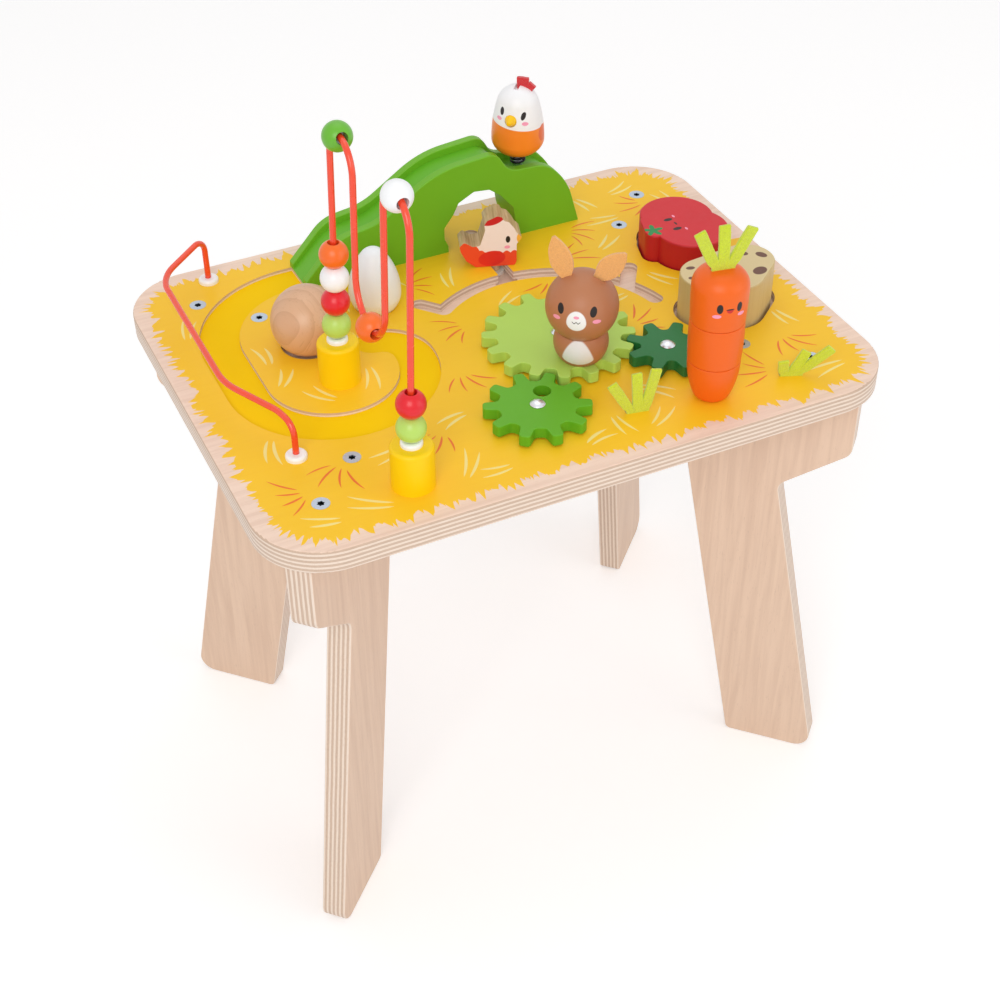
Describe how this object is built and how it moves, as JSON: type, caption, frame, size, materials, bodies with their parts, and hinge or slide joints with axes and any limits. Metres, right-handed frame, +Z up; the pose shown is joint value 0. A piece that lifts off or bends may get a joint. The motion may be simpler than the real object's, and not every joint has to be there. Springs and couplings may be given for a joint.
{
  "type": "activity table",
  "caption": "Low wooden play table with a ball run and hill, meshing gears, bead wires, a sprung hen, shape puzzles and a stacking carrot.",
  "frame": {"origin": "on the floor, under the middle of the table top", "axes": "+Z up, +X along the long edge to the right, +Y to the far long edge with the hill"},
  "size_m": [0.4, 0.3, 0.5098],
  "materials": {
    "printed_sheet": "satin print",
    "plywood": "clear matt lacquer",
    "leg_plywood": "clear matt lacquer",
    "steel": "satin",
    "hill_green": "satin paint",
    "slide_green": "satin paint",
    "spring_black": "black",
    "hen_paint": "satin paint",
    "beak_paint": "satin paint",
    "red_felt": "felt",
    "block_paint": "satin paint",
    "bare_wood": "clear matt lacquer",
    "gear_light": "satin paint",
    "gear_mid": "satin paint",
    "gear_dark": "satin paint",
    "washer_plastic": "matt",
    "rabbit_paint": "satin paint",
    "ear_felt": "felt",
    "tomato_paint": "satin paint",
    "potato_paint": "satin paint",
    "carrot_paint": "satin paint",
    "lime_felt": "felt",
    "ball_wood": "clear matt lacquer",
    "egg_paint": "satin paint",
    "post_paint": "satin paint",
    "ferrule_white": "gloss",
    "wire_orange": "gloss coat",
    "bead_orange": "gloss paint",
    "bead_red": "gloss paint",
    "bead_lime": "gloss paint",
    "bead_green": "gloss paint",
    "bead_white": "gloss paint",
    "track_yellow": "satin paint",
    "pin_silver": "polished"
  },
  "bodies": {
    "table": {"top_panel": "printed_sheet", "base_panel": "plywood", "track_floor": "track_yellow", "leg_front_left": "leg_plywood", "leg_front_right": "leg_plywood", "leg_rear_left": "leg_plywood", "leg_rear_right": "leg_plywood", "leg_screws": "steel", "leg_sleeves": "steel", "hill_front_panel": "hill_green", "hill_core": "slide_green", "hill_rear_panel": "hill_green", "hill_screws": "steel", "spring_stud": "steel", "post_left": "post_paint", "post_right": "post_paint", "post_screws": "steel", "post_ferrules": "ferrule_white", "tall_wire": "wire_orange", "low_wire": "wire_orange", "low_wire_ferrules": "ferrule_white", "gear_pins": "pin_silver", "gear_washers": "washer_plastic", "carrot_peg": "bare_wood", "front_tuft": "lime_felt", "right_tuft": "lime_felt"},
    "rabbit_gear": {"large_gear": "gear_light", "rabbit_body": "rabbit_paint", "rabbit_head": "rabbit_paint", "rabbit_dowel": "bare_wood", "rabbit_ear_left": "ear_felt", "rabbit_ear_right": "ear_felt"},
    "finger_gear": {"medium_gear": "gear_mid"},
    "little_gear": {"small_gear": "gear_dark"},
    "spring": {"hen_spring": "spring_black"},
    "spring_hen": {"hen_body": "hen_paint", "hen_beak": "beak_paint", "hen_comb": "red_felt", "hen_plug": "bare_wood"},
    "sliding_hen": {"hen_block_peg": "bare_wood", "hen_block_guide": "washer_plastic"},
    "turning_hen": {"hen_block": "block_paint"},
    "tomato": {"tomato_piece": "tomato_paint"},
    "potato": {"potato_piece": "potato_paint"},
    "carrot_low": {"carrot_tip": "carrot_paint"},
    "carrot_mid": {"carrot_middle": "carrot_paint"},
    "carrot_high": {"carrot_top": "carrot_paint", "carrot_leaves": "lime_felt"},
    "ball": {"wooden_ball": "ball_wood"},
    "loose_egg": {"egg": "egg_paint"},
    "bead_left_lime_body": {"bead_left_lime": "bead_lime"},
    "bead_left_red_body": {"bead_left_red": "bead_red"},
    "bead_left_white_body": {"bead_left_white": "bead_white"},
    "bead_left_orange_body": {"bead_left_orange": "bead_orange"},
    "bead_loop_green_body": {"bead_loop_green": "bead_green"},
    "bead_dip_orange_body": {"bead_dip_orange": "bead_orange"},
    "bead_loop_white_body": {"bead_loop_white": "bead_white"},
    "bead_right_lime_body": {"bead_right_lime": "bead_lime"},
    "bead_right_red_body": {"bead_right_red": "bead_red"}
  },
  "joints": [
    {"name": "rabbit_gear_turn", "type": "hinge", "parent": "table", "child": "rabbit_gear", "pos_m": [0.0275, -0.02884, 0.33], "axis": [0, 0, 1], "continuous": true},
    {"name": "finger_gear_turn", "type": "hinge", "parent": "table", "child": "finger_gear", "pos_m": [-0.01679, -0.08914, 0.33], "axis": [0, 0, 1], "continuous": true},
    {"name": "little_gear_turn", "type": "hinge", "parent": "table", "child": "little_gear", "pos_m": [0.08081, -0.06975, 0.33], "axis": [0, 0, 1], "continuous": true},
    {"name": "hen_nod", "type": "hinge", "parent": "table", "child": "spring", "pos_m": [0.06858, 0.1125, 0.3757], "axis": [1, 0, 0], "range_deg": [-8, 8], "stiffness_Nm_per_rad": 0.08},
    {"name": "hen_sway", "type": "hinge", "parent": "spring", "child": "spring_hen", "pos_m": [0.06858, 0.1125, 0.38415], "axis": [0, 1, 0], "range_deg": [-8, 8], "stiffness_Nm_per_rad": 0.08},
    {"name": "hen_block_slide", "type": "slide", "parent": "table", "child": "sliding_hen", "axis": [0, 1, 0], "range_m": [-0.022, 0.036]},
    {"name": "hen_block_turn", "type": "hinge", "parent": "sliding_hen", "child": "turning_hen", "pos_m": [0.033, 0.07545, 0.33], "axis": [0, 0, 1], "range_deg": [-15, 120]},
    {"name": "tomato_lift", "type": "slide", "parent": "table", "child": "tomato", "axis": [0, 0, 1], "range_m": [0, 0.05]},
    {"name": "potato_lift", "type": "slide", "parent": "table", "child": "potato", "axis": [0, 0, 1], "range_m": [0, 0.05]},
    {"name": "carrot_tip_lift", "type": "slide", "parent": "table", "child": "carrot_low", "axis": [0, 0, 1], "range_m": [0, 0.065]},
    {"name": "carrot_middle_lift", "type": "slide", "parent": "carrot_low", "child": "carrot_mid", "axis": [0, 0, 1], "range_m": [0, 0.05]},
    {"name": "carrot_top_lift", "type": "slide", "parent": "carrot_mid", "child": "carrot_high", "axis": [0, 0, 1], "range_m": [0, 0.04]},
    {"name": "ball_lift", "type": "slide", "parent": "table", "child": "ball", "axis": [0, 0, 1], "range_m": [0, 0.05]},
    {"name": "egg_lift", "type": "slide", "parent": "table", "child": "loose_egg", "axis": [0, 0, 1], "range_m": [0, 0.05]},
    {"name": "left_lime_slide", "type": "slide", "parent": "table", "child": "bead_left_lime_body", "axis": [0.0349, 0, 0.9994], "range_m": [0, 0.013]},
    {"name": "left_red_slide", "type": "slide", "parent": "bead_left_lime_body", "child": "bead_left_red_body", "axis": [0.0349, 0, 0.9994], "range_m": [0, 0.013]},
    {"name": "left_white_slide", "type": "slide", "parent": "bead_left_red_body", "child": "bead_left_white_body", "axis": [0.0349, 0, 0.9994], "range_m": [0, 0.013]},
    {"name": "left_orange_slide", "type": "slide", "parent": "bead_left_white_body", "child": "bead_left_orange_body", "axis": [0.0349, 0, 0.9994], "range_m": [0, 0.013]},
    {"name": "green_loop_slide", "type": "hinge", "parent": "table", "child": "bead_loop_green_body", "pos_m": [-0.10243, -0.02125, 0.47993], "axis": [0.9994, 0, -0.0349], "range_deg": [-40, 55]},
    {"name": "orange_dip_slide", "type": "hinge", "parent": "table", "child": "bead_dip_orange_body", "pos_m": [-0.10453, -0.05925, 0.41997], "axis": [0.9994, 0, -0.0349], "range_deg": [-55, 55]},
    {"name": "white_loop_slide", "type": "hinge", "parent": "table", "child": "bead_loop_white_body", "pos_m": [-0.10226, -0.09775, 0.48493], "axis": [0.9994, 0, -0.0349], "range_deg": [-50, 50]},
    {"name": "right_lime_slide", "type": "slide", "parent": "table", "child": "bead_right_lime_body", "axis": [0.0349, 0, 0.9994], "range_m": [0, 0.044]},
    {"name": "right_red_slide", "type": "slide", "parent": "bead_right_lime_body", "child": "bead_right_red_body", "axis": [0.0349, 0, 0.9994], "range_m": [0, 0.044]}
  ],
  "couplings": [
    {"joint": "finger_gear_turn", "follows": "rabbit_gear_turn", "ratio": -1.6},
    {"joint": "little_gear_turn", "follows": "rabbit_gear_turn", "ratio": -2}
  ]
}
